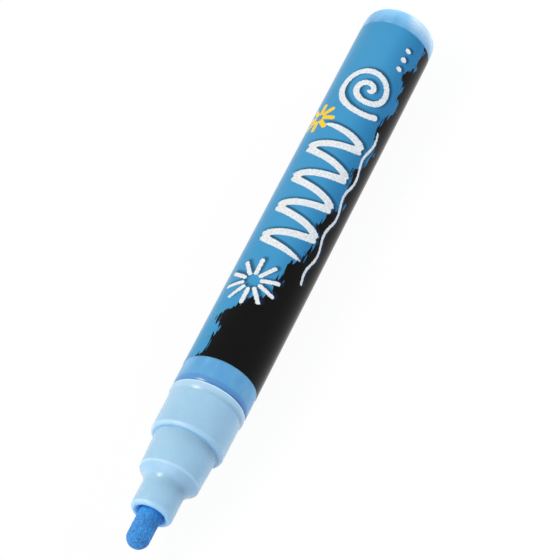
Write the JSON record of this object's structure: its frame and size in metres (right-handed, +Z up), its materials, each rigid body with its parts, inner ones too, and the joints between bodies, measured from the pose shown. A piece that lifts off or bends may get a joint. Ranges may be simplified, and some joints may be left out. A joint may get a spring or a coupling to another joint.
{
  "type": "liquid chalk marker",
  "caption": "Round valve-action liquid chalk marker with a sleeved barrel, stepped cap seat and sprung bullet nib.",
  "frame": {"origin": "on the plane the marker lies on, below the middle of its length", "axes": "+X along the barrel's axis towards the nib, +Z up, marker lying on its side"},
  "size_m": [0.128, 0.015, 0.015],
  "materials": {
    "barrel_plastic": "translucent polypropylene, satin",
    "printed_film": "gloss printed film",
    "front_plastic": "satin moulded polypropylene",
    "nib_fibre": "matt bonded fibre, inked",
    "valve_plastic": "natural acetal",
    "seal_rubber": "matt",
    "spring_steel": "bright drawn wire",
    "ball_steel": "polished stainless steel"
  },
  "bodies": {
    "marker_body": {"barrel": "barrel_plastic", "label_sleeve": "printed_film", "front_section": "front_plastic", "valve_cage": "valve_plastic", "valve_seat": "seal_rubber", "valve_spring": "spring_steel"},
    "nib_plunger": {"nib": "nib_fibre", "valve_rod": "valve_plastic"},
    "ball": {"mixing_ball": "ball_steel"}
  },
  "joints": [
    {"name": "nib_press", "type": "slide", "parent": "marker_body", "child": "nib_plunger", "axis": [-1, 0, 0], "range_m": [0, 0.0025], "stiffness_N_per_m": 400, "springref_m": -0.003, "deforming": ["valve_spring"]},
    {"name": "ball_roll", "type": "slide", "parent": "marker_body", "child": "ball", "axis": [1, 0, 0], "range_m": [0, 0.0715]}
  ]
}
